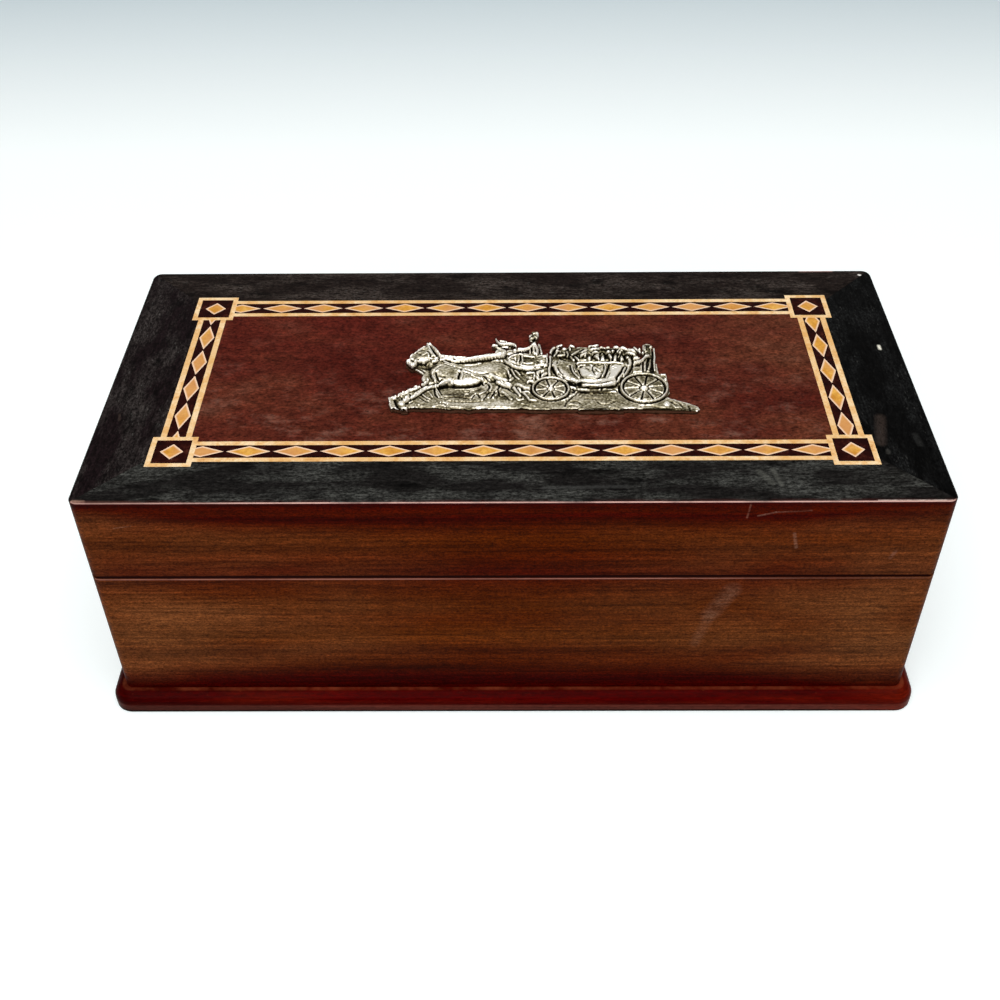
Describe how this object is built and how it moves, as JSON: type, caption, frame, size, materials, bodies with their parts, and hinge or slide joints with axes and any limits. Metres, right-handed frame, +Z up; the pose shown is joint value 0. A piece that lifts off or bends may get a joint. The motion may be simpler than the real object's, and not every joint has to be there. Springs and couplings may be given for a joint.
{
  "type": "keepsake box",
  "caption": "Hinged wooden keepsake box on a moulded plinth; the lid is inlaid with lozenge banding and corner squares and carries a cast horse and carriage.",
  "frame": {"origin": "centre of the underside of the plinth board", "axes": "+Z up, +X along the length to the right seen from the front, +Y towards the hinges"},
  "size_m": [0.2626, 0.1308, 0.0924],
  "materials": {
    "plinth_wood": "deep red polished hardwood",
    "case_wood": "red-brown mahogany, french polished",
    "panel_wood": "plain mahogany panel",
    "field_veneer": "dark mottled red-brown veneer",
    "ebonised_veneer": "black-stained veneer, worn satin",
    "pale_stringing": "pale sycamore line",
    "dark_ground": "near-black stained veneer",
    "amber_lozenge": "amber satinwood",
    "lining_felt": "thin wool felt",
    "cast_pewter": "antiqued cast pewter",
    "hinge_brass": "aged brass",
    "screw_steel": "plain steel"
  },
  "bodies": {
    "base": {"base_board": "plinth_wood", "base_front": "case_wood", "base_back": "case_wood", "base_left": "case_wood", "base_right": "case_wood", "floor_lining": "lining_felt", "board_screws": "screw_steel", "hinge_base_leaves": "hinge_brass", "hinge_base_screws": "hinge_brass", "hinge_pins": "hinge_brass"},
    "lid": {"lid_front": "case_wood", "lid_back": "case_wood", "lid_left": "case_wood", "lid_right": "case_wood", "lid_panel": "panel_wood", "centre_veneer": "field_veneer", "border_front": "ebonised_veneer", "border_back": "ebonised_veneer", "border_left": "ebonised_veneer", "border_right": "ebonised_veneer", "banding_lines": "pale_stringing", "banding_grounds": "dark_ground", "banding_lozenges": "amber_lozenge", "square_frames": "pale_stringing", "square_grounds": "dark_ground", "square_lozenges": "amber_lozenge", "carriage_relief": "cast_pewter", "relief_pins": "cast_pewter", "hinge_lid_leaves": "hinge_brass", "hinge_lid_screws": "hinge_brass"}
  },
  "joints": [
    {"name": "lid_hinge", "type": "hinge", "parent": "base", "child": "lid", "pos_m": [0, 0.0589, 0.059], "axis": [-1, 0, 0], "range_deg": [0, 100]}
  ]
}
